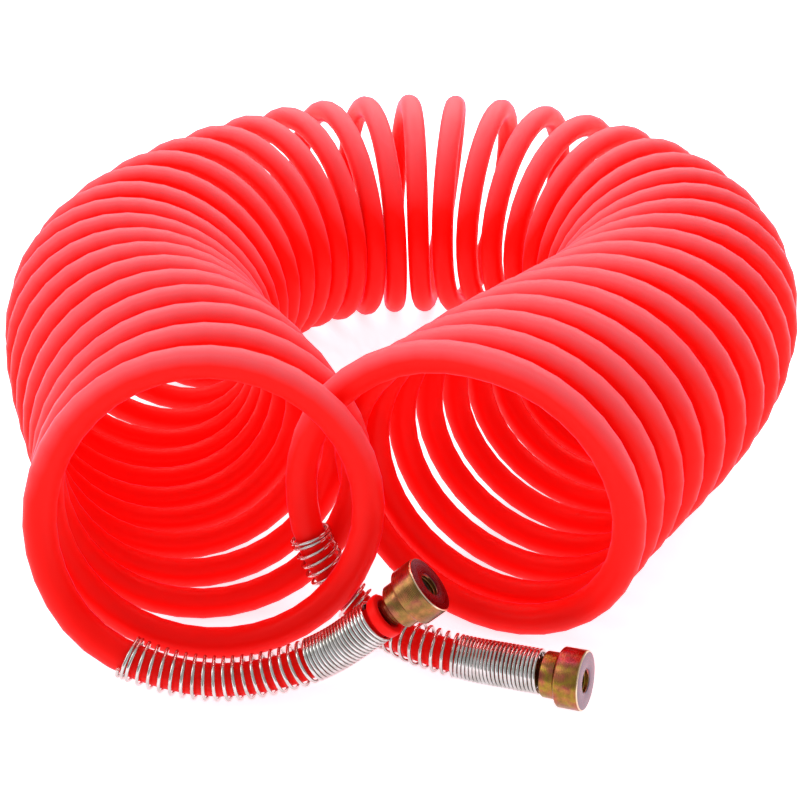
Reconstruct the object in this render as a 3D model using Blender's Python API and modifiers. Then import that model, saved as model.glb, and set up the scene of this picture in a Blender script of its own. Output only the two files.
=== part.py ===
"""A coiled air hose, lying on the ground: forty turns laid round a horseshoe, and at each end of the hose
a swivelling screw fitting with a spring guard behind it. Metres, +Z up. The sizes below are in
millimetres and are made metres where the shapes are built."""

import math

import bpy
import numpy as np
from mathutils import Vector

MM = 0.001

# The hose and its coil
HOSE_OD = 8.0
HOSE_WALL = 1.0
COIL_OVER_HOSE = 10.5
COIL_OD = COIL_OVER_HOSE * HOSE_OD
TAIL_GAP = 0.55
HOSE_STEP = 20.0
BENT_STEP = 5.0

# The spring guards
WIRE = 0.9
GUARD_CLEAR = 0.7
CLOSE_PITCH = WIRE + 0.14
OPEN_PITCH = 2.55
GUARD_POINTS = 8
GUARD_GAP = 0.55

# The end fittings, by radius and by distance back from the front face
HEAD_R = 7.25
HEAD_LENGTH = 6.1
HEAD_CHAMFER = 0.35
THREAD_R = 2.8
THREAD_DEPTH = 3.0
SPIGOT_R = 2.25
SPIGOT_TOP = 3.3
TURN_CLEAR = 0.25
RING_TOP = 3.8
RING_HEIGHT = 0.6
SEAL_TOP = 5.0
SEAL_SECTION = 0.3
COLLAR_R = HOSE_OD / 2 + 1.6
COLLAR_LENGTH = 3.9
NECK_R = HOSE_OD / 2 - 0.6
NECK_LENGTH = 2.4
BARB_R = HOSE_OD / 2 - HOSE_WALL - 0.15
BARB_COUNT = 3
BARB_PITCH = 3.5
STEM_BORE_R = SPIGOT_R - 1.0
WASHER_THICK = 0.8
FLARE_R = HOSE_OD / 2 + 1.35
FLARE_LENGTH = 2.6
HOSE_END_LENGTH = 13.5
FIT_GAP = 0.3
COLLAR_END = HEAD_LENGTH + FIT_GAP + COLLAR_LENGTH
HOSE_TOP = COLLAR_END + NECK_LENGTH + FIT_GAP

# The lie of the hose, for a coil 84 mm outside; LAY stretches it for any other. The coil's axis runs from
# the left front, round the back, to the right front, and the thick tube covers it from START to END.
LAY = COIL_OD / 84.0
COIL_START = 40.4
COIL_END = 525.6
AXIS_ROUTE = [(-49, -127), (-57, -82), (-82, -15), (-67, 56), (-22, 96),
              (35, 94), (79, 51), (78, -13), (37, -73), (11, -115)]
# How far along the axis turns 0, 5, 10 and so on up to 45 lie, and how each leans, sways and swells there
STATION = (-2, 65, 124, 203, 277, 357, 431, 494, 555, 610)
LEAN = (11, 3, 2, -1, 0, 2, 3, 2, -2, -7)
SWAY = (-2, -1, 1, -3, -1, 2, 3, 2, 4, 5)
SIDE = (1, -2, -5, 0, -1, 1, -3, -5, 2, 6)
RADIUS = (40, 37, 36, 37, 37.5, 36, 36, 41, 38, 39)
# Where two turns would meet, each gives way towards the back: turn, reach in turns, distance
GIVE_WAY = ((2.36, 0.18, 1.7), (39.34, 0.2, 4.8))
INLET_FACE = LAY * Vector((4.0, -130.5, 34.2))
INLET_AIM = Vector((0.75, 0.013, 0.66)).normalized()
INLET_TAIL = [(-25.2, -131.2, 10.9), (-35.6, -131.6, 7.4), (-46, -131.9, 6.1), (-60, -131.2, 8.1)]
INLET_TURNS = (0.64, 2.05)
OUTLET_FACE = LAY * Vector((41.2, -137.0, 10.4))
OUTLET_AIM = Vector((0.8986, -0.4138, 0.1481)).normalized()
OUTLET_TAIL = [(2.6, -120.2, 6.6), (-5.9, -113.5, 6.3), (-13.2, -107.5, 8.3), (-18.8, -104.6, 13.2),
               (-22.6, -103.0, 19.2), (-26.5, -100.8, 28.4), (-28.0, -98, 40.9), (-25.7, -97.7, 54),
               (-18.9, -98.1, 66.2), (-6, -98.7, 75.5)]
OUTLET_TURNS = (39.98, 38.0)
INLET_GUARD = {"back": HOSE_TOP + FLARE_LENGTH + WIRE / 2 + GUARD_GAP, "close": 19, "open": 18, "last": 2}
OUTLET_GUARD = {"back": COLLAR_END + WIRE / 2 + GUARD_GAP, "close": 21, "open": 21, "last": 2}
# Brings the whole hose over the origin and down onto the ground
SHIFT = Vector((-1.2, 0.515, 0.0))


# ---------------------------------------------------------------- scene and materials

def clear_scene():
    for obj in list(bpy.data.objects):
        bpy.data.objects.remove(obj, do_unlink=True)
    for old in list(bpy.data.collections):
        bpy.data.collections.remove(old)


def new_collection(name):
    made = bpy.data.collections.new(name)
    bpy.context.scene.collection.children.link(made)
    return made


def material(name, colour, roughness, metallic=0.0, transmission=0.0):
    made = bpy.data.materials.new(name)
    made.use_nodes = True
    shader = made.node_tree.nodes["Principled BSDF"]
    shader.inputs["Base Color"].default_value = (*colour, 1.0)
    shader.inputs["Roughness"].default_value = roughness
    shader.inputs["Metallic"].default_value = metallic
    shader.inputs["Transmission Weight"].default_value = transmission
    made.diffuse_color = (*colour, 1.0)
    return made


def add(collection, obj, surface, parent):
    collection.objects.link(obj)
    obj.parent = parent
    if surface is not None:
        obj.data.materials.clear()
        obj.data.materials.append(surface)
    return obj


# ---------------------------------------------------------------- smooth lines

def smooth(points, knots, at):
    """The natural cubic through the points, read at the places asked for."""
    points = np.asarray(points, float)
    knots = np.asarray(knots, float)
    at = np.atleast_1d(np.asarray(at, float))
    gap = np.diff(knots)
    rows = np.eye(len(points))
    right = np.zeros(points.shape)
    for i in range(1, len(points) - 1):
        rows[i, i - 1:i + 2] = (gap[i - 1], 2 * (gap[i - 1] + gap[i]), gap[i])
        ahead = (points[i + 1] - points[i]) / gap[i]
        behind = (points[i] - points[i - 1]) / gap[i - 1]
        right[i] = 6 * (ahead - behind)
    bend = np.linalg.solve(rows, right)
    i = np.clip(np.searchsorted(knots, at, side="right") - 1, 0, len(gap) - 1)
    h = gap[i]
    a = (knots[i + 1] - at) / h
    b = (at - knots[i]) / h
    shape = (-1,) + (1,) * (points.ndim - 1)
    a, b, h = a.reshape(shape), b.reshape(shape), h.reshape(shape)
    curve = ((a ** 3 - a) * bend[i] + (b ** 3 - b) * bend[i + 1]) * h ** 2 / 6
    return a * points[i] + b * points[i + 1] + curve


def distances(points):
    """How far along each point is."""
    steps = np.linalg.norm(np.diff(points, axis=0), axis=1)
    return np.concatenate([[0.0], np.cumsum(steps)])


def directions(points):
    along = np.gradient(points, axis=0)
    return along / np.linalg.norm(along, axis=1)[:, None]


def axis_line():
    """The coil's axis in plan, closely spaced, with its distances and directions."""
    count = len(AXIS_ROUTE)
    line = LAY * smooth(AXIS_ROUTE, range(count), np.linspace(0, count - 1, 2000))
    return line, distances(line), directions(line)


def on_axis(stations):
    line, along, heading = axis_line()
    place = np.stack([np.interp(stations, along, line[:, k]) for k in (0, 1)], axis=-1)
    facing = np.stack([np.interp(stations, along, heading[:, k]) for k in (0, 1)], axis=-1)
    return place, facing / np.linalg.norm(facing, axis=1)[:, None]


def by_turn(table, turns):
    return smooth(table, 5.0 * np.arange(len(table)), turns)


def coil_points(turns):
    """The hose's centre line inside the coil. A whole turn is at the top of the coil."""
    angle = 2 * math.pi * turns
    place, facing = on_axis(LAY * by_turn(STATION, turns))
    outward = np.stack([facing[:, 1], -facing[:, 0]], axis=-1)
    out = by_turn(RADIUS, turns) * np.sin(angle) + by_turn(SIDE, turns) * np.cos(angle)
    lean = by_turn(LEAN, turns) * np.cos(angle) + by_turn(SWAY, turns) * np.sin(angle)
    plan = place + LAY * (out[:, None] * outward + lean[:, None] * facing)
    for turn, reach, push in GIVE_WAY:
        plan[:, 1] += LAY * push * np.exp(-((turns - turn) / reach) ** 2)
    rise = (COIL_OD - HOSE_OD) / 2
    return np.column_stack([plan, COIL_OD / 2 + rise * np.cos(angle)])


def end_line(face, aim, tail, turns):
    """The centre line from inside a fitting, along the tail and into the coil, with distances back
    from the fitting's face."""
    backs = np.linspace(COLLAR_END, HOSE_TOP + HOSE_END_LENGTH, 4)
    stub = [np.array(face - aim * back) for back in backs]
    count = 1 + round(24 * abs(turns[1] - turns[0]))
    coiled = coil_points(np.linspace(turns[0], turns[1], count))
    points = np.vstack([stub, LAY * np.array(tail, float), coiled])
    knots = distances(points)
    line = smooth(points, knots, np.linspace(0, knots[-1], 4000))
    return line, distances(line) + COLLAR_END


def read_line(line, along, at):
    return np.stack([np.interp(at, along, line[:, k]) for k in range(3)], axis=-1)


def carried_frames(line):
    """A pair of directions across the line at each point, carried along it without twisting."""
    heading = directions(line)
    across = [np.cross(heading[0], (0.0, 0.0, 1.0))]
    for i in range(1, len(line)):
        turned_to = across[-1] - heading[i] * np.dot(across[-1], heading[i])
        across.append(turned_to / np.linalg.norm(turned_to))
    across = np.array(across) / np.linalg.norm(across, axis=1)[:, None]
    return across, np.cross(heading, across)


# ---------------------------------------------------------------- shapes

def tube(name, points, diameter, sides_step, capped=True):
    """A round tube through the points, with filled ends."""
    curve = bpy.data.curves.new(name, "CURVE")
    curve.dimensions = "3D"
    curve.fill_mode = "FULL"
    curve.bevel_depth = diameter / 2 * MM
    curve.bevel_resolution = sides_step
    curve.use_fill_caps = capped
    spline = curve.splines.new("POLY")
    spline.points.add(len(points) - 1)
    for point, place in zip(spline.points, points):
        point.co = (*(MM * float(c) for c in place), 1.0)
    spline.use_smooth = True
    return bpy.data.objects.new(name, curve)


def turned(name, profile, segments=24):
    """A piece turned about its own Z. The profile is a closed loop of radius and height that runs down
    the outside and back up the bore."""
    mesh = bpy.data.meshes.new(name)
    points = [(radius * MM, 0.0, height * MM) for radius, height in profile]
    edges = [(i, (i + 1) % len(points)) for i in range(len(points))]
    mesh.from_pydata(points, edges, [])
    obj = bpy.data.objects.new(name, mesh)
    screw = obj.modifiers.new("Turned", "SCREW")
    screw.axis = "Z"
    screw.angle = 2 * math.pi
    screw.steps = segments
    screw.render_steps = segments
    screw.use_merge_vertices = True
    screw.merge_threshold = 0.00001
    screw.use_smooth_shade = True
    even = obj.modifiers.new("Even shading", "WEIGHTED_NORMAL")
    even.mode = "FACE_AREA"
    return obj


def empty(name, collection, place, aim, parent):
    made = bpy.data.objects.new(name, None)
    made.empty_display_size = 0.01
    made.location = Vector(place) * MM
    if aim is not None:
        made.rotation_mode = "QUATERNION"
        made.rotation_quaternion = aim.to_track_quat("Z", "Y")
    collection.objects.link(made)
    made.parent = parent
    return made


# ---------------------------------------------------------------- the hose and its guards

def hose_coil():
    """The turns as the one thick round tube that they lie in."""
    place, _ = on_axis(LAY * np.linspace(COIL_START, COIL_END, 36))
    points = [(x, y, COIL_OD / 2) for x, y in place]
    line = tube("coil line", points, COIL_OD, 10, capped=False)
    graph = bpy.context.evaluated_depsgraph_get()
    bpy.context.scene.collection.objects.link(line)
    graph.update()
    mesh = bpy.data.meshes.new_from_object(line.evaluated_get(graph))
    mesh.name = "hose_coil"
    bpy.data.objects.remove(line, do_unlink=True)
    obj = bpy.data.objects.new("hose_coil", mesh)
    wall = obj.modifiers.new("Hose thickness", "SOLIDIFY")
    wall.thickness = HOSE_OD * MM
    wall.offset = -1.0
    wall.use_rim = True
    return obj


def hose_tail(name, line, along, bent_to):
    """The hose from the back of its end piece, through the guard, to the coil."""
    start = HOSE_TOP + HOSE_END_LENGTH + TAIL_GAP
    near = np.arange(start, bent_to, BENT_STEP)
    count = 2 + int((along[-1] - near[-1]) / HOSE_STEP)
    far = np.linspace(near[-1], along[-1], count)[1:]
    return tube(name, read_line(line, along, np.concatenate([near, far])), HOSE_OD, 3)


def spring_guard(name, line, along, guard):
    """Round wire wound about the hose: close turns by the fitting, then open ones, then two last close
    ones at the free end."""
    step = 1.0 / GUARD_POINTS
    back = [guard["back"]]
    for turns, pitch in (("close", CLOSE_PITCH), ("open", OPEN_PITCH), ("last", CLOSE_PITCH)):
        for _ in range(guard[turns] * GUARD_POINTS):
            back.append(back[-1] + pitch * step)
    across, up = carried_frames(line)
    centre = read_line(line, along, back)
    side = read_line(across, along, back)
    top = read_line(up, along, back)
    angle = 2 * math.pi * step * np.arange(len(back))
    radius = HOSE_OD / 2 + GUARD_CLEAR + WIRE / 2
    points = centre + radius * (np.cos(angle)[:, None] * side + np.sin(angle)[:, None] * top)
    return tube(name, points, WIRE, 1)


# ---------------------------------------------------------------- the end fittings

def swivel_head(name):
    mouth = THREAD_R + 0.3
    bore = SPIGOT_R + TURN_CLEAR
    groove = SPIGOT_R + 0.85
    groove_top = RING_TOP - 0.2
    groove_end = RING_TOP + RING_HEIGHT + 0.2
    return turned(name, [
        (HEAD_R - HEAD_CHAMFER, 0.0), (HEAD_R, -HEAD_CHAMFER),
        (HEAD_R, 0.4 - HEAD_LENGTH), (HEAD_R - 0.4, -HEAD_LENGTH),
        (bore, -HEAD_LENGTH), (bore, -groove_end),
        (groove, -groove_end), (groove, -groove_top),
        (bore, -groove_top), (bore, -THREAD_DEPTH),
        (THREAD_R, -THREAD_DEPTH), (THREAD_R, -0.3), (mouth, 0.0),
    ], segments=32)


def stem(name):
    """The fixed middle of a fitting: a spigot for the head to turn on, a collar, and barbs for the hose."""
    ring_floor = SPIGOT_R - 0.55
    seal_floor = SPIGOT_R - 2 * SEAL_SECTION
    ring_end = RING_TOP + RING_HEIGHT + 0.1
    seal_end = SEAL_TOP + 2 * SEAL_SECTION + 0.1
    collar_top = HEAD_LENGTH + FIT_GAP
    collar_end = COLLAR_END
    neck_end = collar_end + NECK_LENGTH
    profile = [
        (SPIGOT_R - 0.25, -SPIGOT_TOP), (SPIGOT_R, -SPIGOT_TOP - 0.25),
        (SPIGOT_R, 0.1 - RING_TOP), (ring_floor, 0.1 - RING_TOP),
        (ring_floor, -ring_end), (SPIGOT_R, -ring_end),
        (SPIGOT_R, -SEAL_TOP), (seal_floor, -SEAL_TOP),
        (seal_floor, -seal_end), (SPIGOT_R, -seal_end),
        (SPIGOT_R, -collar_top), (COLLAR_R - 0.3, -collar_top),
        (COLLAR_R, -collar_top - 0.3), (COLLAR_R, 0.3 - collar_end),
        (COLLAR_R - 0.3, -collar_end), (NECK_R, -collar_end),
        (NECK_R, -neck_end), (BARB_R - 0.5, -neck_end),
    ]
    height = neck_end + 2.0
    for _ in range(BARB_COUNT):
        profile += [(BARB_R - 0.5, -height), (BARB_R, -height)]
        height += BARB_PITCH
    profile += [(BARB_R - 0.6, -height), (STEM_BORE_R, -height), (STEM_BORE_R, -SPIGOT_TOP)]
    return turned(name, profile)


def retaining_ring(name, cutters, parent):
    """A split ring, half in the head's groove and half in the stem's."""
    top, end = -RING_TOP, -RING_TOP - RING_HEIGHT + 0.1
    inner, outer = SPIGOT_R - 0.4, SPIGOT_R + 0.7
    ring = turned(name, [(outer, top), (outer, end), (inner, end), (inner, top)])
    mesh = bpy.data.meshes.new(name + "_gap")
    corners = [(x, y, z) for x in (1.0, 6.0) for y in (-0.7, 0.7) for z in (-6.0, -2.0)]
    mesh.from_pydata([Vector(corner) * MM for corner in corners], [],
                     [(0, 1, 3, 2), (4, 6, 7, 5), (0, 4, 5, 1), (2, 3, 7, 6), (0, 2, 6, 4), (1, 5, 7, 3)])
    gap = bpy.data.objects.new(name + "_gap", mesh)
    gap.hide_render = True
    gap.display_type = "WIRE"
    add(cutters, gap, None, parent)
    cut = ring.modifiers.new("Split", "BOOLEAN")
    cut.operation = "DIFFERENCE"
    cut.solver = "EXACT"
    cut.object = gap
    return ring


def o_ring(name):
    centre = SPIGOT_R - SEAL_SECTION + 0.12
    height = -SEAL_TOP - SEAL_SECTION - 0.05
    round_section = []
    for i in range(8):
        angle = math.pi / 2 - 2 * math.pi * i / 8
        round_section.append((centre + (SEAL_SECTION - 0.05) * math.cos(angle),
                              height + (SEAL_SECTION - 0.05) * math.sin(angle)))
    return turned(name, round_section)


def seal_washer(name):
    end = FIT_GAP - THREAD_DEPTH
    outer, inner = THREAD_R - 0.15, THREAD_R - 1.2
    return turned(name, [(outer, end + WASHER_THICK), (outer, end), (inner, end), (inner, end + WASHER_THICK)])


def hose_end(name, flared):
    """The last of the hose, pushed over the stem's barbs, with its lip flared where no guard covers it."""
    top = -HOSE_TOP
    outer, bore = HOSE_OD / 2, HOSE_OD / 2 - HOSE_WALL
    profile = [(outer, top)]
    if flared:
        profile = [(FLARE_R - 0.2, top), (FLARE_R, top - 0.3), (FLARE_R, top + 0.4 - FLARE_LENGTH),
                   (FLARE_R - 0.4, top - FLARE_LENGTH), (outer, top - FLARE_LENGTH)]
    profile += [(outer, top - HOSE_END_LENGTH), (bore, top - HOSE_END_LENGTH), (bore, top)]
    return turned(name, profile)


# ---------------------------------------------------------------- putting it together

def build_end(end, place, surfaces, collection, cutters, whole):
    """One end of the hose: the fitting's pieces round its own axis, then the guard and the tail."""
    fitting = empty(end + "_fitting", collection, place["face"], place["aim"], whole)
    add(collection, swivel_head(end + "_swivel_head"), surfaces["head"], fitting)
    add(collection, stem(end + "_stem"), surfaces["stem"], fitting)
    add(collection, seal_washer(end + "_seal_washer"), surfaces["washer"], fitting)
    add(collection, retaining_ring(end + "_retaining_ring", cutters, fitting), surfaces["ring"], fitting)
    add(collection, o_ring(end + "_o_ring"), surfaces["seal"], fitting)
    add(collection, hose_end(end + "_hose_end", place["flared"]), surfaces["hose"], fitting)
    line, along = end_line(place["face"], place["aim"], place["tail"], place["turns"])
    add(collection, spring_guard(end + "_spring_guard", line, along, place["guard"]), surfaces["wire"], whole)
    add(collection, hose_tail(end + "_hose", line, along, place["bent_to"]), surfaces["tail"], whole)


def surfaces_for(end):
    red = (0.78, 0.03, 0.02)
    return {
        "head": material(end + " head, yellow-passivated steel", (0.62, 0.45, 0.22), 0.25, 1.0),
        "stem": material(end + " stem, yellow-passivated steel", (0.55, 0.42, 0.26), 0.3, 1.0),
        "washer": material(end + " washer, nitrile rubber", (0.02, 0.02, 0.02), 0.7),
        "ring": material(end + " ring, spring steel", (0.35, 0.35, 0.36), 0.3, 1.0),
        "seal": material(end + " seal, black rubber", (0.03, 0.03, 0.03), 0.6),
        "hose": material(end + " hose end, red polyurethane", red, 0.3),
        "tail": material(end + " hose, red polyurethane", red, 0.3),
        "wire": material(end + " guard, bright steel wire", (0.75, 0.75, 0.77), 0.18, 1.0),
    }


def build():
    clear_scene()
    collection = new_collection("coiled_air_hose")
    cutters = new_collection("cutters")
    cutters.hide_render = True
    whole = empty("coiled_air_hose_root", collection, SHIFT, None, None)
    inlet = {"face": INLET_FACE, "aim": INLET_AIM, "tail": INLET_TAIL, "turns": INLET_TURNS,
             "guard": INLET_GUARD, "flared": True, "bent_to": 92.0}
    outlet = {"face": OUTLET_FACE, "aim": OUTLET_AIM, "tail": OUTLET_TAIL, "turns": OUTLET_TURNS,
              "guard": OUTLET_GUARD, "flared": False, "bent_to": 92.0}
    build_end("inlet", inlet, surfaces_for("inlet"), collection, cutters, whole)
    build_end("outlet", outlet, surfaces_for("outlet"), collection, cutters, whole)
    red = material("coil, red polyurethane", (0.78, 0.03, 0.02), 0.3)
    add(collection, hose_coil(), red, whole)


build()
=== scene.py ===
# %% [markdown]
# # A coiled air hose
# A workshop air hose lies on a pale floor. About forty turns of red polyurethane hose are laid round a
# horseshoe, and both ends come out at the front. Each end has a screw fitting whose head swivels, and a
# spring of bright wire that keeps the hose from kinking where it leaves the fitting.
#
# The solid model is already loaded as a fixed frame. It knows how big the pieces are and how they move,
# but its coil is one thick tube and its round pieces are coarse. This lesson makes the pieces that are
# seen: the hose turn by turn, the wound springs, the turned fittings, and their finishes.

import math

import bpy
import numpy as np
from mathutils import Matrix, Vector


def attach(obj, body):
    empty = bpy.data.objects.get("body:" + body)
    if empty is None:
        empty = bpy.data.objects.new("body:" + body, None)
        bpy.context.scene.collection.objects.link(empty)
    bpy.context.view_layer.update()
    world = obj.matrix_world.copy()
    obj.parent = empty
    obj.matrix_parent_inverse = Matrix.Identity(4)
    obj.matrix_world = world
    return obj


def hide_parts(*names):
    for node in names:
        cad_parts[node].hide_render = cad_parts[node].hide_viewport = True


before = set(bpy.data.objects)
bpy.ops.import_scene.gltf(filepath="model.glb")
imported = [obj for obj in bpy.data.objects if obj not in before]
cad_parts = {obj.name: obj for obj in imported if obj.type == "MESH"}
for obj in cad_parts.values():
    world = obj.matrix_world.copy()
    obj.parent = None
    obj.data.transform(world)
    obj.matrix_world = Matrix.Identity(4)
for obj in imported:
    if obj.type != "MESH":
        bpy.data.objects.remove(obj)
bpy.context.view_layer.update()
MM = 0.001

# %% [markdown]
# ## The camera
# The hose is seen from the front and from about thirty degrees above, close enough that the near turns
# look much larger than the far ones. A lens of 55 mm on a 36 mm sensor at that distance gives just that
# perspective. A longer lens further off would flatten the horseshoe, so the distance is kept.

# %% Place the camera
CAMERA_PLACE = (-0.0042, -0.359485, 0.21204)
CAMERA_TILT = 0.5114
FOCAL_LENGTH = 55.55
SENSOR_WIDTH = 36.0
lens = bpy.data.cameras.new("camera")
lens.lens = FOCAL_LENGTH
lens.sensor_width = SENSOR_WIDTH
lens.clip_start = 0.01
camera = bpy.data.objects.new("camera", lens)
camera.location = CAMERA_PLACE
camera.rotation_euler = (math.pi / 2 - CAMERA_TILT, 0.0, 0.0)
bpy.context.scene.collection.objects.link(camera)
bpy.context.scene.camera = camera
print("camera looks down by", round(math.degrees(CAMERA_TILT), 1), "degrees")

# %% [markdown]
# ## The lie of the hose
# A coil that someone has put down is not a perfect helix. Its axis bends round the horseshoe, the turns
# bunch in some places and open in others, and each one leans a little. So the route is a helix wound
# about a drawn axis, with a short table for each of those habits: one value for every fifth turn, and a
# smooth curve between them. The two tails are drawn as a few points each.

# %% The route's own numbers, in metres
AXIS_ROUTE = MM * np.array([(-49, -127), (-57, -82), (-82, -15), (-67, 56), (-22, 96),
                            (35, 94), (79, 51), (78, -13), (37, -73), (11, -115)])
STATION = MM * np.array((-2, 65, 124, 203, 277, 357, 431, 494, 555, 610))
LEAN = MM * np.array((11, 3, 2, -1, 0, 2, 3, 2, -2, -7))
SWAY = MM * np.array((-2, -1, 1, -3, -1, 2, 3, 2, 4, 5))
SIDE = MM * np.array((1, -2, -5, 0, -1, 1, -3, -5, 2, 6))
RADIUS = MM * np.array((40, 37, 36, 37, 37.5, 36, 36, 41, 38, 39))
# Where two turns would meet, each gives way towards the back: turn, reach in turns, distance
GIVE_WAY = ((2.36, 0.18, 1.7 * MM), (39.34, 0.2, 4.8 * MM))
# The coil is drawn a hair lower and flatter than its thick tube, so that it stays inside the frame
COIL_MIDDLE = 41.8 * MM
COIL_RISE = 37.8 * MM
FIRST_TURN, LAST_TURN = 0.64, 39.98
INLET_FACE = MM * Vector((4.0, -130.5, 34.2))
INLET_AIM = Vector((0.75, 0.013, 0.66)).normalized()
INLET_TAIL = MM * np.array([(-25.2, -131.2, 10.9), (-35.6, -131.6, 7.4), (-46, -131.9, 6.1),
                            (-60, -131.2, 8.1)])
OUTLET_FACE = MM * Vector((41.2, -137.0, 10.4))
OUTLET_AIM = Vector((0.8986, -0.4138, 0.1481)).normalized()
OUTLET_TAIL = MM * np.array([(2.6, -120.2, 6.6), (-5.9, -113.5, 6.3), (-13.2, -107.5, 8.3),
                             (-18.8, -104.6, 13.2), (-22.6, -103.0, 19.2), (-26.5, -100.8, 28.4),
                             (-28.0, -98, 40.9), (-25.7, -97.7, 54), (-18.9, -98.1, 66.2),
                             (-6, -98.7, 75.5)])
STUB_BACKS = MM * np.array((10.5, 16.0, 21.5, 26.5))
# Brings the whole hose over the origin
SHIFT = MM * Vector((-1.2, 0.515, 0.0))
HOSE_OD = 8.0 * MM
print("coil axis drawn through", len(AXIS_ROUTE), "points")

# %% [markdown]
# A natural cubic is the curve that a thin strip of wood takes when it is pinned at some points. It is
# worked out here with one small set of equations. The strip passes through every point, and nothing in
# it looks like straight wire joined to arcs.

# %% Smooth curves through points

def smooth(points, knots, at):
    """The natural cubic through the points, read at the places asked for."""
    points = np.asarray(points, float)
    knots = np.asarray(knots, float)
    at = np.asarray(at, float)
    gap = np.diff(knots)
    rows = np.eye(len(points))
    right = np.zeros(points.shape)
    for i in range(1, len(points) - 1):
        rows[i, i - 1:i + 2] = (gap[i - 1], 2 * (gap[i - 1] + gap[i]), gap[i])
        ahead = (points[i + 1] - points[i]) / gap[i]
        behind = (points[i] - points[i - 1]) / gap[i - 1]
        right[i] = 6 * (ahead - behind)
    bend = np.linalg.solve(rows, right)
    i = np.clip(np.searchsorted(knots, at, side="right") - 1, 0, len(gap) - 1)
    shape = (-1,) + (1,) * (points.ndim - 1)
    h = gap[i].reshape(shape)
    a = (knots[i + 1] - at).reshape(shape) / h
    b = (at - knots[i]).reshape(shape) / h
    curve = ((a ** 3 - a) * bend[i] + (b ** 3 - b) * bend[i + 1]) * h ** 2 / 6
    return a * points[i] + b * points[i + 1] + curve


def distances(points):
    """How far along the line each point is."""
    steps = np.linalg.norm(np.diff(points, axis=0), axis=1)
    return np.concatenate([[0.0], np.cumsum(steps)])


def directions(points):
    along = np.gradient(points, axis=0)
    return along / np.linalg.norm(along, axis=1)[:, None]


def read_line(line, along, at):
    return np.stack([np.interp(at, along, line[:, k]) for k in range(line.shape[1])], axis=-1)


AXIS_POINTS = 2000
axis_count = len(AXIS_ROUTE)
axis_line = smooth(AXIS_ROUTE, range(axis_count), np.linspace(0, axis_count - 1, AXIS_POINTS))
axis_along = distances(axis_line)
axis_heading = directions(axis_line)
print("coil axis is", round(axis_along[-1] / MM), "mm long")

# %% [markdown]
# Each turn is a circle that stands across the axis. The sine of the turn's angle moves a point outwards
# and the cosine moves it up and down, so a whole number of turns is always the top of the coil. The tables
# then push each circle sideways, lean it and swell it. The straight stretch inside each fitting and the
# two tails are joined on, and one smooth curve runs through all of it.

# %% Wind the turns about the axis
TURNS_PER_ENTRY = 5.0


def by_turn(table, turns):
    return smooth(table, TURNS_PER_ENTRY * np.arange(len(table)), turns)


def coil_points(turns):
    """The hose's middle in the coil. A whole turn is at the top of the coil."""
    angle = 2 * math.pi * turns
    station = by_turn(STATION, turns)
    place = read_line(axis_line, axis_along, station)
    facing = read_line(axis_heading, axis_along, station)
    facing = facing / np.linalg.norm(facing, axis=1)[:, None]
    outward = np.stack([facing[:, 1], -facing[:, 0]], axis=-1)
    out = by_turn(RADIUS, turns) * np.sin(angle) + by_turn(SIDE, turns) * np.cos(angle)
    lean = by_turn(LEAN, turns) * np.cos(angle) + by_turn(SWAY, turns) * np.sin(angle)
    plan = place + out[:, None] * outward + lean[:, None] * facing
    for turn, reach, push in GIVE_WAY:
        plan[:, 1] += push * np.exp(-((turns - turn) / reach) ** 2)
    return np.column_stack([plan, COIL_MIDDLE + COIL_RISE * np.cos(angle)])


def stub(face, aim):
    """The straight stretch that the fitting holds."""
    return [np.array(face - aim * float(back)) for back in STUB_BACKS]


COIL_POINTS = 945
ROUTE_POINTS = 40000
turns = np.linspace(FIRST_TURN, LAST_TURN, COIL_POINTS)
route_points = np.vstack([stub(INLET_FACE, INLET_AIM), INLET_TAIL, coil_points(turns),
                          OUTLET_TAIL[::-1], stub(OUTLET_FACE, OUTLET_AIM)[::-1]])
route_points += np.array(SHIFT)
route_knots = distances(route_points)
route = smooth(route_points, route_knots, np.linspace(0, route_knots[-1], ROUTE_POINTS))
route_along = distances(route)
ROUTE_LENGTH = route_along[-1]
print("whole route is", round(ROUTE_LENGTH, 3), "m")

# %% [markdown]
# ## The hose
# The hose is extruded polyurethane, 8 mm outside. It is a soft piece with one fixed length, so it is one
# curve from fitting to fitting, with a round bevel for its wall, and not separate rings. The points are
# 6.4 mm apart, about 37 to a turn. Smooth shading hides those steps on the surface, but they show a little
# in the outline from close by, and more points would cure that at the cost of faces. The section has
# sixteen sides. The hose starts inside the left fitting's flared lip and ends over the right fitting's
# barbs, just behind its neck.

# %% Lay the hose
INLET_START = 5.0 * MM
OUTLET_STOP = 2.7 * MM
HOSE_POINTS = 1500
HOSE_ROUNDNESS = 6


def wire(name, points, diameter, roundness):
    """A curve through the points, with a section of 4 + 2 * roundness sides."""
    curve = bpy.data.curves.new(name, "CURVE")
    curve.dimensions = "3D"
    curve.fill_mode = "FULL"
    curve.bevel_depth = diameter / 2
    curve.bevel_resolution = roundness
    curve.use_fill_caps = True
    spline = curve.splines.new("POLY")
    spline.points.add(len(points) - 1)
    flat = np.column_stack([points, np.ones(len(points))]).ravel()
    spline.points.foreach_set("co", flat)
    spline.use_smooth = True
    made = bpy.data.objects.new(name, curve)
    bpy.context.scene.collection.objects.link(made)
    return made


hose_places = np.linspace(INLET_START, ROUTE_LENGTH - OUTLET_STOP, HOSE_POINTS)
hose_line = read_line(route, route_along, hose_places)
hose = wire("hose", hose_line, HOSE_OD, HOSE_ROUNDNESS)
HOSE_LENGTH = float(distances(hose_line)[-1])
print("hose length in metres:", round(HOSE_LENGTH, 3))

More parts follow.
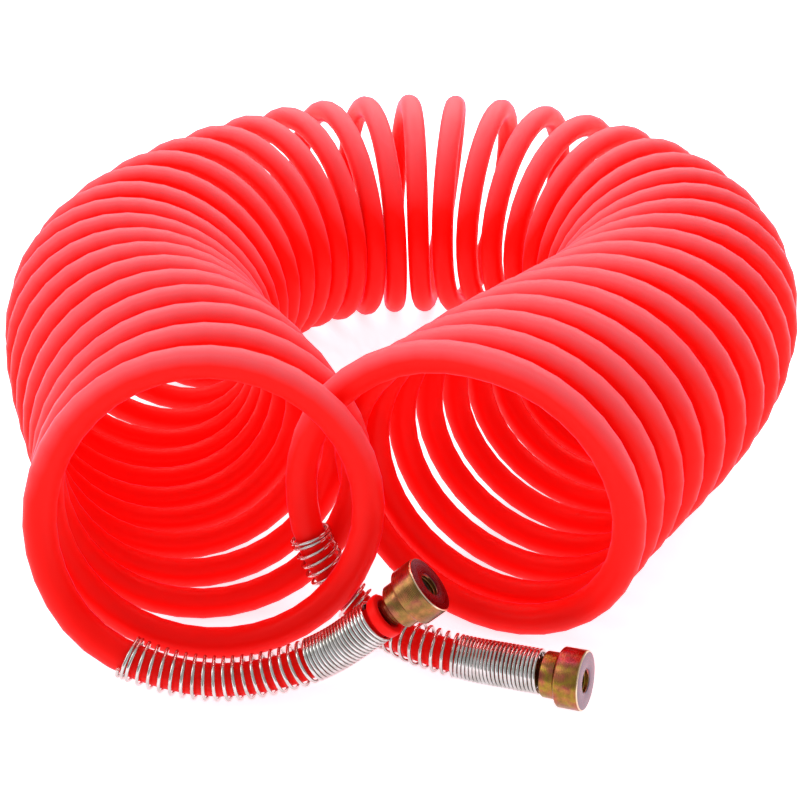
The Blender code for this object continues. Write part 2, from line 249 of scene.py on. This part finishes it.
# %% [markdown]
# ## The spring guards
# Each guard is one length of round wire, wound on the hose. Its turns all but touch for the first part, next to
# the fitting, where it must be stiff. Then they open out so that it can bend, and the last turns close
# again so that the free end is tidy. A screwed section bent along a curve would need one pitch all the
# way, so the wire's middle is worked out turn by turn: it circles the hose's own route. For that it needs
# two directions across the hose at every point, and these are carried along so that they never twist.

# %% Carry a pair of directions along the route

def carried_frames(line):
    """Two directions across the line at each point, carried along it without twisting."""
    heading = directions(line)
    across = [np.cross(heading[0], (0.0, 0.0, 1.0))]
    for i in range(1, len(line)):
        turned_to = across[-1] - heading[i] * np.dot(across[-1], heading[i])
        across.append(turned_to / np.linalg.norm(turned_to))
    across = np.array(across) / np.linalg.norm(across, axis=1)[:, None]
    return across, np.cross(heading, across)


print("directions for both guards can be carried")

# %% [markdown]
# The guard is a loose fit. The hose lies low inside it, so the guard's middle is lifted a little and its
# loops stand higher above the hose than below. Each list gives how many turns there are at each pitch:
# close ones, open ones and the last close ones.

# %% Wind a guard
GUARD_WIRE = 0.92 * MM
GUARD_RADIUS = 5.1 * MM
GUARD_LIFT = 0.4 * MM
GUARD_REACH = 0.16
GUARD_ROUNDNESS = 3
POINTS_PER_TURN = 24
INLET_GUARD_START = 6.0 * MM
OUTLET_GUARD_START = 0.35 * MM


def guard_line(line, start, pitches):
    """The wire's middle. pitches lists how many turns there are at each pitch."""
    places = [start]
    for count, pitch in pitches:
        for _ in range(int(count * POINTS_PER_TURN)):
            places.append(places[-1] + pitch / POINTS_PER_TURN)
    along = distances(line)
    across, up = carried_frames(line)
    centre = read_line(line, along, places) + (0.0, 0.0, GUARD_LIFT)
    side = read_line(across, along, places)
    top = read_line(up, along, places)
    angle = 2 * math.pi * np.arange(len(places)) / POINTS_PER_TURN
    return centre + GUARD_RADIUS * (np.cos(angle)[:, None] * side + np.sin(angle)[:, None] * top)


inlet_side = route[route_along < GUARD_REACH]
outlet_side = route[route_along > ROUTE_LENGTH - GUARD_REACH][::-1]
inlet_turns = [(19, 1.04 * MM), (17.5, 2.55 * MM), (2, 1.1 * MM)]
outlet_turns = [(21.5, 1.04 * MM), (21, 2.5 * MM), (1.5, 1.1 * MM)]
inlet_line = guard_line(inlet_side, INLET_GUARD_START, inlet_turns)
outlet_line = guard_line(outlet_side, OUTLET_GUARD_START, outlet_turns)
inlet_guard = wire("inlet_guard_wire", inlet_line, GUARD_WIRE, GUARD_ROUNDNESS)
outlet_guard = wire("outlet_guard_wire", outlet_line, GUARD_WIRE, GUARD_ROUNDNESS)
print("guards wound:", sum(t for t, _ in inlet_turns), "and", sum(t for t, _ in outlet_turns), "turns")

# %% [markdown]
# ## The turned fittings
# The fittings are turned on a lathe, so each is a stack of circles. One circle is added, and every next
# edge of the shape is an extrusion that is then scaled in or out, exactly as one would do by hand with
# E and S. At the end the last circle is bridged to the first, which closes the bore. A small bevel takes
# the razor edge off every corner, because real edges catch a thin line of light.

# %% Turn a piece from circles
BEVEL_FROM = math.radians(25)
SMOOTH_UP_TO = math.radians(32)


def stack(name, rings, sides, edge, place, aim):
    """A turned piece. rings lists radius and height in mm, down the outside and back up the bore, and
    edge is the width of the bevel in mm."""
    bpy.ops.object.select_all(action="DESELECT")
    radius, height = rings[0]
    bpy.ops.mesh.primitive_circle_add(vertices=sides, radius=radius * MM, fill_type="NOTHING",
                                      location=(0, 0, height * MM))
    made = bpy.context.object
    made.name = name
    made.data.name = name
    bpy.ops.object.transform_apply(location=True, rotation=True, scale=True)
    bpy.ops.object.mode_set(mode="EDIT")
    bpy.ops.mesh.select_mode(type="EDGE")
    bpy.ops.mesh.select_all(action="SELECT")
    for next_radius, next_height in rings[1:]:
        lift = (next_height - height) * MM
        bpy.ops.mesh.extrude_region_move(TRANSFORM_OT_translate={"value": (0, 0, lift)})
        grow = next_radius / radius
        bpy.ops.transform.resize(value=(grow, grow, 1), center_override=(0, 0, 0))
        radius, height = next_radius, next_height
    bpy.ops.mesh.select_all(action="DESELECT")
    bpy.ops.mesh.select_non_manifold(extend=False, use_wire=False, use_boundary=True,
                                     use_multi_face=False, use_non_contiguous=False, use_verts=False)
    bpy.ops.mesh.bridge_edge_loops()
    bpy.ops.mesh.select_all(action="SELECT")
    bpy.ops.mesh.normals_make_consistent(inside=False)
    bpy.ops.object.mode_set(mode="OBJECT")
    soften = made.modifiers.new("Soft edges", "BEVEL")
    soften.width = edge * MM
    soften.segments = 2
    soften.angle_limit = BEVEL_FROM
    bpy.ops.object.modifier_apply(modifier=soften.name)
    bpy.ops.object.shade_smooth_by_angle(angle=SMOOTH_UP_TO)
    settle(made, place, aim)
    return made


def settle(made, place, aim):
    """Turns a piece that was modelled along Z to its aim, moves it to its place and applies both."""
    bpy.ops.object.select_all(action="DESELECT")
    made.select_set(True)
    bpy.context.view_layer.objects.active = made
    made.rotation_mode = "QUATERNION"
    made.rotation_quaternion = aim.to_track_quat("Z", "Y")
    made.location = place
    bpy.ops.object.transform_apply(location=True, rotation=True, scale=True)
    made.rotation_mode = "XYZ"


ENDS = {"inlet": (INLET_FACE + SHIFT, INLET_AIM), "outlet": (OUTLET_FACE + SHIFT, OUTLET_AIM)}
print("ends:", ", ".join(ENDS))

# %% [markdown]
# The head is what a hand turns. From the front: a small chamfer, a flat ring that meets the other half,
# a countersunk mouth and the threaded bore. Inside are the lip that holds the washer and the groove for
# the retaining ring. The thread is a ridge with a pointed section that winds down the bore.

# %% Heads and threads
# Radii, and distances back from the front face, in mm
HEAD_R = 7.25
HEAD_LENGTH = 6.1
HEAD_CHAMFER = 0.35
MOUTH_R = 3.1
THREAD_R = 2.8
THREAD_DEPTH = 3.0
TURN_R = 2.5
GROOVE_R = 3.1
GROOVE_TOP, GROOVE_END = 3.6, 4.6
HEAD_RINGS = [(HEAD_R - HEAD_CHAMFER, 0.0), (HEAD_R, -HEAD_CHAMFER),
              (HEAD_R, HEAD_CHAMFER - HEAD_LENGTH), (HEAD_R - HEAD_CHAMFER, -HEAD_LENGTH),
              (TURN_R, -HEAD_LENGTH), (TURN_R, -GROOVE_END),
              (GROOVE_R, -GROOVE_END), (GROOVE_R, -GROOVE_TOP),
              (TURN_R, -GROOVE_TOP), (TURN_R, -THREAD_DEPTH),
              (THREAD_R, -THREAD_DEPTH), (THREAD_R, -0.3), (MOUTH_R, 0.0)]
RIDGE_R = 2.78
RIDGE_TURNS = 2.6
RIDGE_TOP = 0.5
RIDGE_DROP = 2.2
RIDGE_STEPS = 100
RIDGE_SECTION = 0.55 * MM


def thread_line(face, aim):
    """The middle of the thread's ridge, wound down the bore."""
    turn = aim.to_track_quat("Z", "Y")
    points = []
    for i in range(RIDGE_STEPS + 1):
        share = i / RIDGE_STEPS
        angle = 2 * math.pi * RIDGE_TURNS * share
        x = RIDGE_R * math.cos(angle)
        y = RIDGE_R * math.sin(angle)
        z = -RIDGE_TOP - RIDGE_DROP * share
        points.append(face + turn @ Vector((x * MM, y * MM, z * MM)))
    return np.array(points)


heads, threads = {}, {}
for end, (face, aim) in ENDS.items():
    heads[end] = stack(end + "_head", HEAD_RINGS, sides=128, edge=0.09, place=face, aim=aim)
    threads[end] = wire(end + "_thread", thread_line(face, aim), RIDGE_SECTION, 0)
print("head faces:", [len(head.data.polygons) for head in heads.values()])

# %% [markdown]
# The stem is the fixed half: a spigot that the head turns on, a collar behind it, and a neck with barbs
# that the hose is pushed over. Most of it is hidden, but its collar and its dark neck are seen between
# the head and the spring.

# %% Stems and the lip of the hose
SPIGOT_R = 2.25
SPIGOT_TOP = 3.3
RING_FLOOR, RING_TOP, RING_END = 1.7, 3.7, 4.5
SEAL_FLOOR, SEAL_TOP, SEAL_END = 1.65, 5.0, 5.7
COLLAR_R = 5.6
COLLAR_TOP, COLLAR_END = 6.4, 10.3
NECK_R = 3.4
NECK_END = 12.7
BARB_R, BARB_ROOT = 2.85, 2.35
BARB_COUNT = 3
BARB_PITCH = 3.5
STEM_BORE_R = 1.25
STEM_RINGS = [(SPIGOT_R - 0.25, -SPIGOT_TOP), (SPIGOT_R, -SPIGOT_TOP - 0.25),
              (SPIGOT_R, -RING_TOP), (RING_FLOOR, -RING_TOP),
              (RING_FLOOR, -RING_END), (SPIGOT_R, -RING_END),
              (SPIGOT_R, -SEAL_TOP), (SEAL_FLOOR, -SEAL_TOP),
              (SEAL_FLOOR, -SEAL_END), (SPIGOT_R, -SEAL_END),
              (SPIGOT_R, -COLLAR_TOP), (COLLAR_R - 0.3, -COLLAR_TOP),
              (COLLAR_R, -COLLAR_TOP - 0.3), (COLLAR_R, 0.45 - COLLAR_END),
              (COLLAR_R - 0.4, -COLLAR_END), (NECK_R, -COLLAR_END),
              (NECK_R, -NECK_END), (BARB_ROOT, -NECK_END)]
barb_back = NECK_END + 2.0
for _ in range(BARB_COUNT):
    STEM_RINGS += [(BARB_ROOT, -barb_back), (BARB_R, -barb_back)]
    barb_back += BARB_PITCH
STEM_RINGS += [(BARB_ROOT - 0.1, -barb_back), (STEM_BORE_R, -barb_back), (STEM_BORE_R, -SPIGOT_TOP)]
LIP_RINGS = [(4.95, -12.95), (5.32, -13.25), (5.38, -14.2), (5.3, -15.2), (4.8, -15.7), (4.02, -15.9),
             (3.5, -15.9), (3.5, -13.2), (3.8, -12.95)]
stems = {}
for end, (face, aim) in ENDS.items():
    stems[end] = stack(end + "_stem_turned", STEM_RINGS, sides=96, edge=0.08, place=face, aim=aim)
lip = stack("inlet_hose_lip", LIP_RINGS, sides=96, edge=0.15, place=ENDS["inlet"][0], aim=INLET_AIM)
print("stems:", len(stems), "and one flared lip")

# %% [markdown]
# ## Finishes
# Shader maths is easier to read as ordinary sums. This small class holds one socket of a node tree, and
# its operators add the Math nodes for themselves.

# %% A socket that can be added and multiplied

class Flow:
    def __init__(self, tree, socket):
        self.tree = tree
        self.socket = socket

    def _sum(self, operation, *values):
        step = self.tree.nodes.new("ShaderNodeMath")
        step.operation = operation
        for slot, value in zip(step.inputs, values):
            plug(self.tree, value, slot)
        return Flow(self.tree, step.outputs[0])

    def __add__(self, other):
        return self._sum("ADD", self, other)

    __radd__ = __add__

    def __sub__(self, other):
        return self._sum("SUBTRACT", self, other)

    def __rsub__(self, other):
        return self._sum("SUBTRACT", other, self)

    def __mul__(self, other):
        return self._sum("MULTIPLY", self, other)

    __rmul__ = __mul__

    def __pow__(self, other):
        return self._sum("POWER", self, other)

    def clamp(self):
        step = self._sum("ADD", self, 0.0)
        step.socket.node.use_clamp = True
        return step


def plug(tree, value, slot):
    """Links a Flow to a slot, or sets a plain value on it."""
    if isinstance(value, Flow):
        tree.links.new(value.socket, slot)
    else:
        slot.default_value = value


class Finish:
    """A material, with one method that adds any node."""

    def __init__(self, name):
        self.material = bpy.data.materials.new(name)
        self.material.use_nodes = True
        self.tree = self.material.node_tree
        self.shader = self.tree.nodes["Principled BSDF"]

    def node(self, kind, settings=None, inputs=None, output=0):
        made = self.tree.nodes.new(kind)
        for key, value in (settings or {}).items():
            setattr(made, key, value)
        for key, value in (inputs or {}).items():
            plug(self.tree, value, made.inputs[key])
        return Flow(self.tree, made.outputs[output])

    def ramp(self, factor, stops):
        made = self.tree.nodes.new("ShaderNodeValToRGB")
        plug(self.tree, factor, made.inputs[0])
        while len(made.color_ramp.elements) < len(stops):
            made.color_ramp.elements.new(0.5)
        for element, (position, colour) in zip(made.color_ramp.elements, stops):
            element.position = position
            element.color = (*colour, 1.0)
        return Flow(self.tree, made.outputs[0])

    def mix(self, factor, first, second):
        made = self.tree.nodes.new("ShaderNodeMix")
        made.data_type = "RGBA"
        plug(self.tree, factor, made.inputs[0])
        for slot, value in ((made.inputs[6], first), (made.inputs[7], second)):
            plug(self.tree, value if isinstance(value, Flow) else (*value, 1.0), slot)
        return Flow(self.tree, made.outputs[2])

    def place(self):
        return self.node("ShaderNodeTexCoord", output="Object")

    def noise(self, vector, scale, detail=2.0, roughness=0.5):
        return self.node("ShaderNodeTexNoise", inputs={"Vector": vector, "Scale": scale, "Detail": detail,
                                                       "Roughness": roughness})

    def bump(self, height, strength, distance):
        return self.node("ShaderNodeBump", inputs={"Height": height, "Strength": strength,
                                                   "Distance": distance})

    def set(self, **values):
        for key, value in values.items():
            slot = self.shader.inputs[key.replace("_", " ")]
            if isinstance(value, tuple) and len(value) == 3 and slot.type == "RGBA":
                value = (*value, 1.0)
            plug(self.tree, value, slot)
        return self.material


def dress(made, material):
    made.data.materials.clear()
    made.data.materials.append(material)


print("finish helpers ready")

# %% [markdown]
# ### Red polyurethane
# The hose is clear red plastic with a satin skin. Light goes in at the top and comes out lower down, so
# its upper side looks coral and its lower side a deep, clean red. A little subsurface scattering carries
# the light. The rest is painted light: the normal's share towards the sky and the height above the
# floor are multiplied, and a ramp takes their product from a painted-shade deep red to a painted coral
# highlight. Both belong to the hose and not to the camera, so the painted light stays put from every side.

# %% Red polyurethane
SKYWARD = (0.0, 0.5, 0.8)
PAINTED_LIGHT_FROM_HEIGHT = 0.025
# Painted light: the first red is painted shade for the low, downward sides, and the coral is a painted
# highlight for the high, upward sides.
PAINTED_SHADE_RED, CLEAN_RED, PAINTED_LIGHT_CORAL = (1.0, 0.003, 0.001), (1.0, 0.008, 0.005), (1.0, 0.105, 0.125)


def red_polyurethane():
    finish = Finish("red polyurethane")
    place = finish.place()
    normal = finish.node("ShaderNodeNewGeometry", output="Normal")
    skyward = finish.node("ShaderNodeVectorMath", {"operation": "DOT_PRODUCT"},
                          {0: normal, 1: SKYWARD}, output="Value")
    height = finish.node("ShaderNodeSeparateXYZ", inputs={0: place}, output="Z")
    cloud = finish.noise(place, 45.0, 3.0)
    # Painted light: facing_up times high_up is large on the high, upward sides, and the ramp paints those coral
    # and the rest a shaded deep red.
    facing_up = (skyward * 1.2 + 0.6).clamp()
    high_up = ((height - PAINTED_LIGHT_FROM_HEIGHT) * 30.0).clamp()
    pale = facing_up * high_up + (cloud - 0.5) * 0.15
    colour = finish.ramp(pale.clamp(), [(0.0, PAINTED_SHADE_RED), (0.25, CLEAN_RED), (1.0, PAINTED_LIGHT_CORAL)])
    fine = finish.noise(place, 900.0, 2.0)
    return finish.set(Base_Color=colour, Roughness=0.42 + cloud * 0.16,
                      Normal=finish.bump(fine, 0.05, 0.0002),
                      Subsurface_Weight=0.25, Subsurface_Radius=(1.0, 0.06, 0.04), Subsurface_Scale=0.004,
                      Coat_Weight=0.04, Coat_Roughness=0.18, IOR=1.45, Specular_IOR_Level=0.12,
                      Sheen_Weight=0.4, Sheen_Roughness=0.2, Sheen_Tint=(1.0, 0.18, 0.6))


RED = red_polyurethane()
for piece in (hose, lip):
    dress(piece, RED)
print("finish:", RED.name)

# %% [markdown]
# ### Yellow-passivated steel
# The fittings are zinc-plated steel with a yellow chromate film. The film is thinner than a wave of
# light, so it shows gold, pink and green by patches, and the lathe has left fine rings round the axis.
# The Mapping node turns the pattern so that its own Z runs along the fitting. Height and radius then say
# where the flat front face and a paler ring round its rim are, and each gets its own colour. The face's
# dark, red-tinged colour is painted shade.

# %% Yellow-passivated steel
TINT_STOPS = (0.3, 0.45, 0.56, 0.7)
FACE_SHARPNESS = 8000.0
FACE_BACK = 0.0003
RIM_FROM, FACE_TO = 0.0068, 0.0069
PALE_RIM = (0.75, 0.58, 0.42)


def passivated(name, face, aim, tints, dark, front):
    finish = Finish(name)
    turn = aim.to_track_quat("Z", "Y").to_euler()
    local = finish.node("ShaderNodeMapping", {"vector_type": "TEXTURE"},
                        {"Vector": finish.place(), "Location": tuple(face), "Rotation": tuple(turn)})
    patches = finish.noise(local, 160.0, 3.0, 0.55)
    colour = finish.ramp(patches, list(zip(TINT_STOPS, tints)))
    split = finish.tree.nodes.new("ShaderNodeSeparateXYZ")
    plug(finish.tree, local, split.inputs[0])
    height = Flow(finish.tree, split.outputs["Z"])
    x, y = Flow(finish.tree, split.outputs["X"]), Flow(finish.tree, split.outputs["Y"])
    radius = (x ** 2.0 + y ** 2.0) ** 0.5
    rings = finish.node("ShaderNodeTexNoise", {"noise_dimensions": "1D"},
                        {"W": (height * 5200.0 + radius * 4100.0), "Scale": 1.0, "Detail": 2.0})
    grime = finish.noise(local, 420.0, 4.0, 0.6)
    colour = finish.mix((grime * 1.8 - 0.7).clamp(), colour, dark)
    # Painted shade: the flat front face is given a dark, red-tinged colour in place of the gold.
    on_front = ((height + FACE_BACK) * FACE_SHARPNESS).clamp()
    colour = finish.mix(on_front * ((FACE_TO - radius) * FACE_SHARPNESS).clamp(), colour, front)
    # A paler gold ring round the outer rim of the front face.
    on_rim = on_front * ((radius - RIM_FROM) * FACE_SHARPNESS).clamp()
    colour = finish.mix(on_rim, colour, PALE_RIM)
    return finish.set(Base_Color=colour, Metallic=1.0, Roughness=0.16 + rings * 0.16 + grime * 0.06,
                      Normal=finish.bump(rings, 0.25, 0.00006))


GOLD_TINTS = {"inlet": ((0.46, 0.09, 0.11), (0.38, 0.16, 0.06), (0.24, 0.15, 0.04), (0.33, 0.10, 0.06)),
              "outlet": ((0.52, 0.07, 0.12), (0.40, 0.13, 0.06), (0.33, 0.23, 0.03), (0.36, 0.08, 0.06))}
# Painted shade: the dark, red-tinged colours of the two front faces.
PAINTED_FACE_SHADES = {"inlet": (0.10, 0.01, 0.03), "outlet": (0.16, 0.11, 0.15)}
HEAD_GRIME = (0.05, 0.015, 0.015)
STEM_GRIME = (0.04, 0.015, 0.015)
for end, (face, aim) in ENDS.items():
    tints, front = GOLD_TINTS[end], PAINTED_FACE_SHADES[end]
    head_finish = passivated(end + " head steel", face, aim, tints, HEAD_GRIME, front)
    stem_finish = passivated(end + " stem steel", face, aim, tints, STEM_GRIME, front)
    dress(heads[end], head_finish)
    dress(threads[end], head_finish)
    dress(stems[end], stem_finish)
print("fittings dressed")

# %% [markdown]
# ### Bright wire
# The guard wire is drawn and nickel-bright, with faint draw marks. It mirrors the pale floor below and the
# red hose beside it, so its own colour is a plain grey and most of what is seen is reflected.

# %% Bright wire

def bright_wire():
    finish = Finish("bright guard wire")
    place = finish.place()
    smear = finish.noise(place, 260.0, 3.0)
    fine = finish.noise(place, 2600.0, 2.0)
    colour = finish.ramp(smear, [(0.3, (0.42, 0.41, 0.38)), (0.6, (0.62, 0.61, 0.60))])
    return finish.set(Base_Color=colour, Metallic=1.0, Roughness=0.08 + smear * 0.1,
                      Normal=finish.bump(fine, 0.1, 0.00003))


WIRE_FINISH = bright_wire()
for piece in (inlet_guard, outlet_guard):
    dress(piece, WIRE_FINISH)
print("finish:", WIRE_FINISH.name)

# %% [markdown]
# ### Rubber and spring steel
# The washer, the O-ring and the split ring are hidden inside the fittings. They are real pieces that the
# frame brings with it, so they keep their plain shapes and only get finishes of their own.

# %% Rubber and spring steel

def black_rubber():
    finish = Finish("black seal rubber")
    grain = finish.noise(finish.place(), 1800.0, 3.0)
    colour = finish.ramp(grain, [(0.3, (0.012, 0.012, 0.013)), (0.7, (0.03, 0.03, 0.032))])
    return finish.set(Base_Color=colour, Roughness=0.45 + grain * 0.3,
                      Normal=finish.bump(grain, 0.2, 0.0001))


def spring_steel():
    finish = Finish("blued spring steel")
    grain = finish.noise(finish.place(), 900.0, 3.0)
    colour = finish.ramp(grain, [(0.3, (0.20, 0.21, 0.24)), (0.7, (0.36, 0.36, 0.38))])
    return finish.set(Base_Color=colour, Metallic=1.0, Roughness=0.25 + grain * 0.2)


RUBBER = black_rubber()
RING_STEEL = spring_steel()
for end in ENDS:
    dress(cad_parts[end + "_o_ring"], RUBBER)
    dress(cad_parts[end + "_seal_washer"], RUBBER)
    dress(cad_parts[end + "_retaining_ring"], RING_STEEL)
print("hidden pieces dressed")

# %% [markdown]
# ## Joining the pieces to the frame
# Every piece rides on a body of the frame, so that a turning head takes its thread with it. Pieces that
# were modelled again stand for the plain solids. The hose is one curve, from the lip on the left fitting
# to the right fitting, with its real length, and it rides on the hose body with its guards and the lip.

# %% Ride and replace
for end in ENDS:
    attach(heads[end], end + "_head")
    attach(threads[end], end + "_head")
    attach(stems[end], "hose")
    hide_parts(end + "_swivel_head")
    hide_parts(end + "_stem")
for piece in (hose, inlet_guard, outlet_guard, lip):
    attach(piece, "hose")
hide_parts("hose_coil", "inlet_hose", "outlet_hose", "outlet_hose_end")
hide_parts("inlet_hose_end")
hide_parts("inlet_spring_guard")
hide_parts("outlet_spring_guard")

# %% [markdown]
# ## The set
# The hose lies on a plain white floor, the way goods are shown for a catalogue. So that the floor stays
# white even under the coil, it glows a little by itself, which also lights the hose softly from below.

# %% Floor
FLOOR_SIZE = 8.0
FLOOR_DROP = 0.0003
bpy.ops.object.select_all(action="DESELECT")
bpy.ops.mesh.primitive_plane_add(size=FLOOR_SIZE, location=(0.0, 1.0, -FLOOR_DROP))
floor = bpy.context.object
floor.name = "floor"
floor_finish = Finish("pale floor")
dress(floor, floor_finish.set(Base_Color=(0.9, 0.9, 0.92), Roughness=0.6,
                              Emission_Color=(1.0, 0.92, 0.98), Emission_Strength=0.8))
print("floor laid")

# %% [markdown]
# The world gives soft light from all round. One wide lamp above and behind brightens the top of each turn,
# and a weak, tall one at the left keeps that side of the coil open. A wide lamp makes soft shadows, because
# every point of the floor sees some of it.

# %% Lights and world
WORLD_STRENGTH = 0.6


def lamp(name, place, target, size, power):
    light = bpy.data.lights.new(name, "AREA")
    light.shape = "RECTANGLE"
    light.size, light.size_y = size
    light.energy = power
    made = bpy.data.objects.new(name, light)
    made.location = place
    made.rotation_euler = (Vector(target) - Vector(place)).to_track_quat("-Z", "Y").to_euler()
    bpy.context.scene.collection.objects.link(made)


lamp("lamp_above", (0.0, 1.0, 1.1), (0.0, 0.0, 0.0), (2.4, 1.4), 30.0)
lamp("lamp_left", (-1.2, -0.2, 0.8), (0.0, 0.0, 0.0), (0.5, 1.2), 5.0)
world = bpy.data.worlds.new("white room")
world.use_nodes = True
background = world.node_tree.nodes["Background"]
background.inputs["Color"].default_value = (1.0, 1.0, 1.0, 1.0)
background.inputs["Strength"].default_value = WORLD_STRENGTH
bpy.context.scene.world = world
bpy.context.scene.view_settings.view_transform = "Standard"
print("lit by", len(bpy.data.lights), "lamps and the world")
